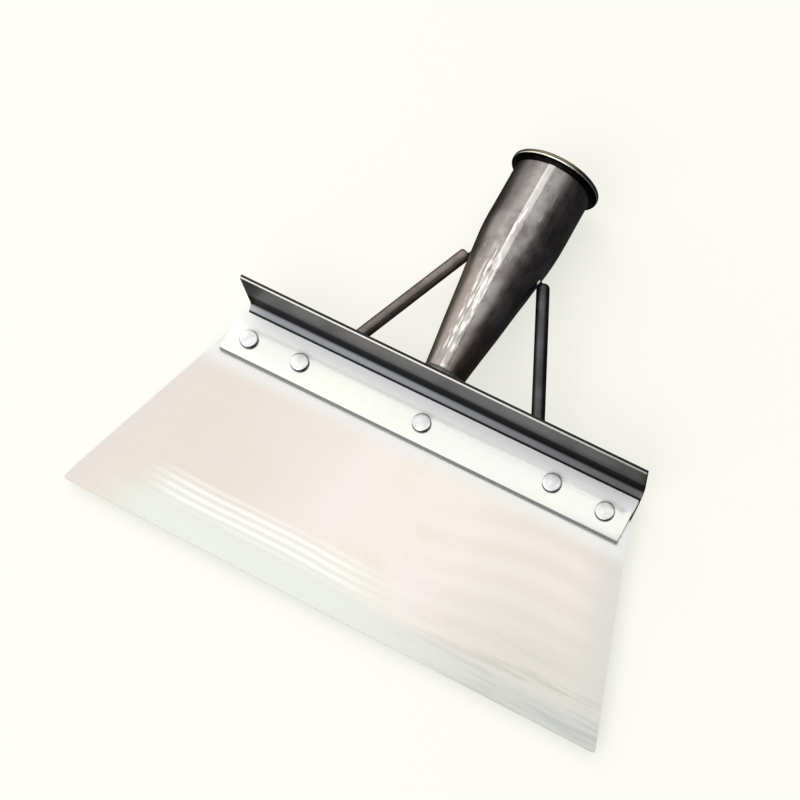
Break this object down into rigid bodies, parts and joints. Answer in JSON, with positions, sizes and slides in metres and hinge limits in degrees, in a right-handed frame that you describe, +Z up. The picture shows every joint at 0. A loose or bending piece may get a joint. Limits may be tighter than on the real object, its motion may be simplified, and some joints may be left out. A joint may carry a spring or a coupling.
{
  "type": "floor scraper head",
  "caption": "Wide stainless scraper blade clamped and riveted to a steel angle, with a tapered welded socket and two round braces for a long handle.",
  "frame": {"origin": "middle of the bottom of the head's box, as it lies on its back with the blade's face up", "axes": "+X along the cutting edge, to the right seen from the blade's face; +Y from the cutting edge to the socket's mouth; +Z up, out of the blade's face"},
  "size_m": [0.2092, 0.1792, 0.0348],
  "materials": {
    "stainless_blade": "polished stainless sheet, bright, with a ground cutting edge",
    "clamp_steel": "bright brushed strip, fine lines along its length",
    "angle_steel": "bent dark steel sheet, wiped with oil, bright along its sheared edge",
    "rivet_steel": "zinc-plated steel, flat heads, lightly scuffed",
    "socket_steel": "dark rolled steel, semi-gloss, scratched along its length",
    "ring_steel": "dark steel ring with a worn bright rim",
    "seam_steel": "ground weld seam, light grey, scratched",
    "brace_steel": "dark round bar with mill scale",
    "weld_steel": "rippled weld bead, grey with heat tint"
  },
  "bodies": {
    "root": {"blade": "stainless_blade", "clamp_strip": "clamp_steel", "angle_bracket": "angle_steel", "rivet_1": "rivet_steel", "rivet_2": "rivet_steel", "rivet_3": "rivet_steel", "rivet_4": "rivet_steel", "rivet_5": "rivet_steel", "socket": "socket_steel", "seam_weld": "seam_steel", "mouth_ring": "ring_steel", "mouth_ring_weld": "weld_steel", "socket_base_weld": "weld_steel", "left_brace": "brace_steel", "right_brace": "brace_steel", "left_brace_foot_weld": "weld_steel", "right_brace_foot_weld": "weld_steel", "left_brace_head_weld": "weld_steel", "right_brace_head_weld": "weld_steel"}
  },
  "joints": []
}
